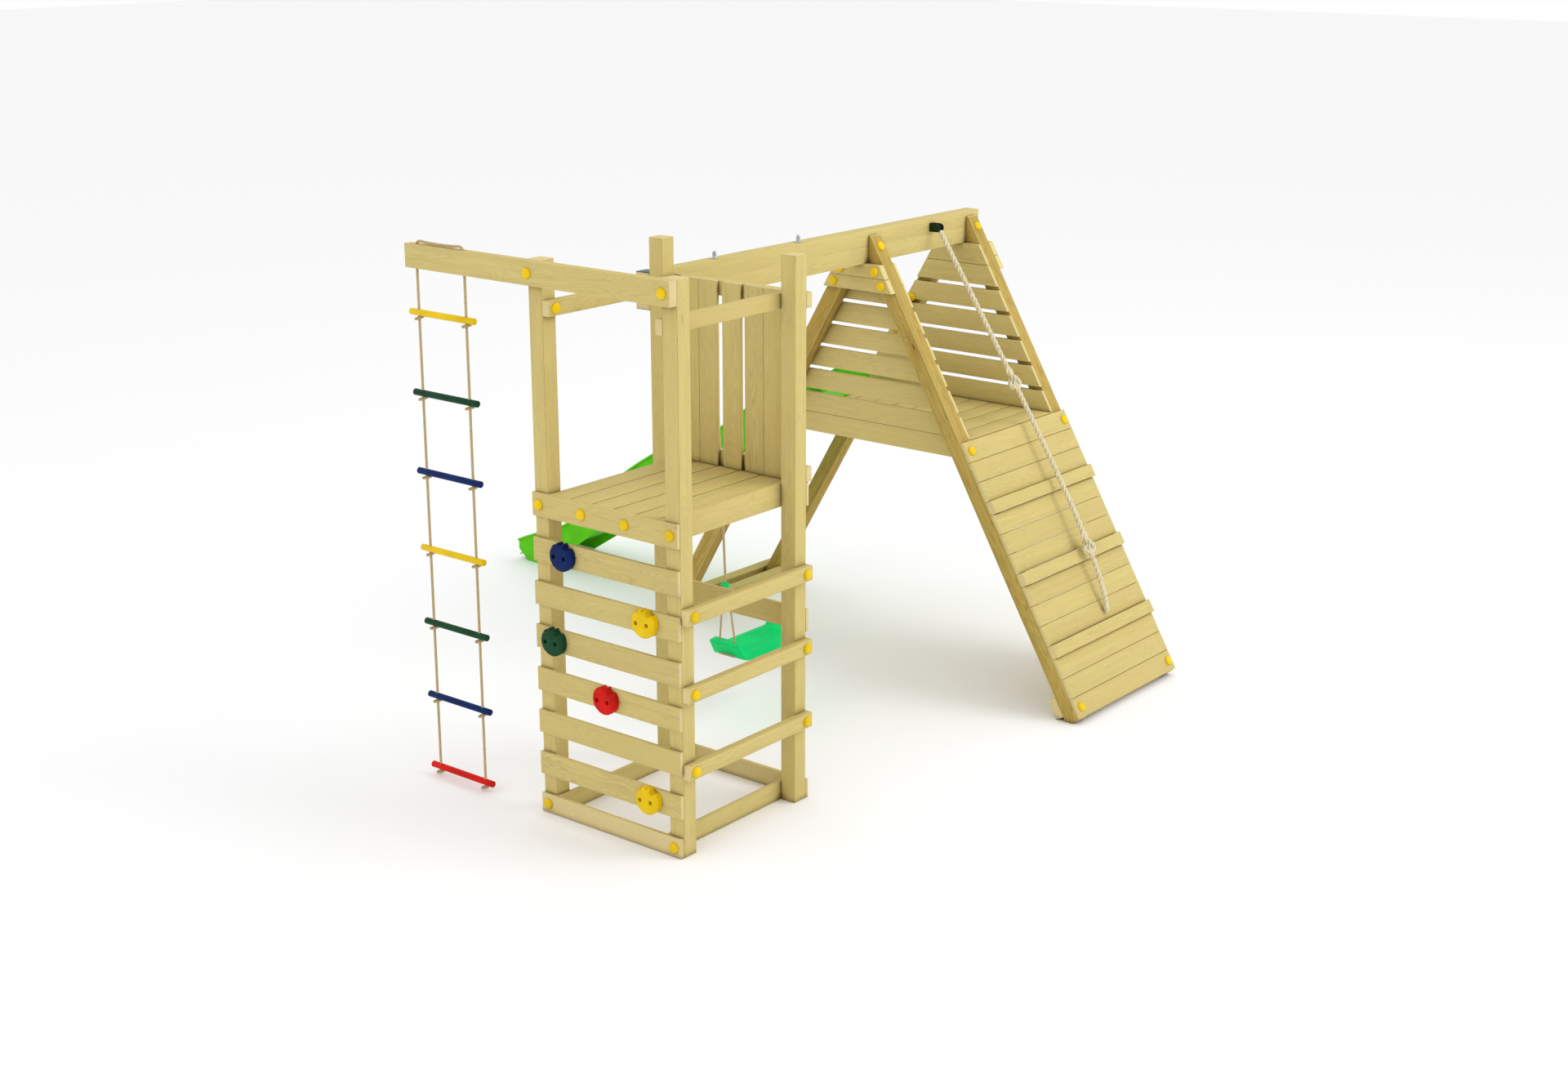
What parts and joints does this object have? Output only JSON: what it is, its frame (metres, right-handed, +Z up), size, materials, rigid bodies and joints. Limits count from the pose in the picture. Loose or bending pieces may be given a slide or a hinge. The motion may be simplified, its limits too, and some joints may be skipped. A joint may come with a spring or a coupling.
{
  "type": "climbing frame",
  "caption": "Timber play tower and ramped A-frame platform joined by a swing beam, with a rope ladder, climbing wall, climbing rope and wave slide.",
  "frame": {"origin": "bottom centre of the bounding box of the rigid pieces, on the ground", "axes": "+Z up, +X along the swing beam from the tower to the platform, +Y towards the rope ladder and the slide"},
  "size_m": [3.45, 4.1988, 2.518],
  "materials": {
    "pine": "satin",
    "yellow_plastic": "glossy",
    "blue_plastic": "satin",
    "dark_green_plastic": "satin",
    "red_plastic": "satin",
    "lime_plastic": "glossy",
    "mint_plastic": "satin",
    "zinc_steel": "satin",
    "coated_steel": "satin",
    "green_steel": "satin",
    "beige_rope": "matte",
    "cream_rope": "matte"
  },
  "bodies": {
    "frame": {"base_boards": "pine", "beam_lower_timber": "pine", "beam_saddle": "coated_steel", "beam_upper_timber": "pine", "bolt_caps": "yellow_plastic", "climbing_wall_boards": "pine", "far_back_leg": "pine", "far_front_leg": "pine", "far_gussets": "pine", "far_hand_grip": "yellow_plastic", "far_wall_boards": "pine", "floor_joists": "pine", "ground_ties": "pine", "hold_bolts": "zinc_steel", "holds_blue": "blue_plastic", "holds_green": "dark_green_plastic", "holds_red": "red_plastic", "holds_yellow": "yellow_plastic", "ladder_beam": "pine", "ladder_top_rope": "beige_rope", "near_back_leg": "pine", "near_front_leg": "pine", "near_gussets": "pine", "near_hand_grip": "yellow_plastic", "near_wall_boards": "pine", "panel_boards": "pine", "panel_bottom_rail": "pine", "panel_top_rail": "pine", "platform_floor_boards": "pine", "platform_joists": "pine", "platform_side_boards": "pine", "post_back_left": "pine", "post_back_right": "pine", "post_front_left": "pine", "post_front_right": "pine", "ramp_battens": "pine", "ramp_boards": "pine", "rope_bracket": "green_steel", "slide": "lime_plastic", "step_rungs": "pine", "swing_eye_bolts": "zinc_steel", "swing_side_boards": "pine", "top_rails": "pine", "tower_floor_boards": "pine", "wall_side_fascia": "pine"},
    "swing": {"swing_chains": "zinc_steel", "swing_rope_left": "beige_rope", "swing_rope_right": "beige_rope", "rope_joints": "mint_plastic", "seat_ropes": "beige_rope", "swing_seat": "mint_plastic"},
    "rope_ladder": {"ladder_rope_inner": "beige_rope", "ladder_rope_outer": "beige_rope", "ladder_rungs_yellow": "yellow_plastic", "ladder_rungs_green": "dark_green_plastic", "ladder_rungs_blue": "blue_plastic", "ladder_rungs_red": "red_plastic", "ladder_knots": "beige_rope"},
    "climbing_rope_body": {"climbing_rope": "cream_rope", "rope_knots": "cream_rope"}
  },
  "joints": [
    {"name": "swing_pivot", "type": "hinge", "parent": "frame", "child": "swing", "pos_m": [-0.1035, -0.71163, 2.1346], "axis": [1, 0, 0], "range_deg": [-60, 60]},
    {"name": "ladder_pivot", "type": "hinge", "parent": "frame", "child": "rope_ladder", "pos_m": [-1.689, -0.23963, 2.3887], "axis": [0, 1, 0], "range_deg": [-45, 45]},
    {"name": "rope_pivot", "type": "hinge", "parent": "frame", "child": "climbing_rope_body", "pos_m": [1.276, -0.79763, 2.289], "axis": [-1, 0, 0], "range_deg": [0, 40]}
  ]
}
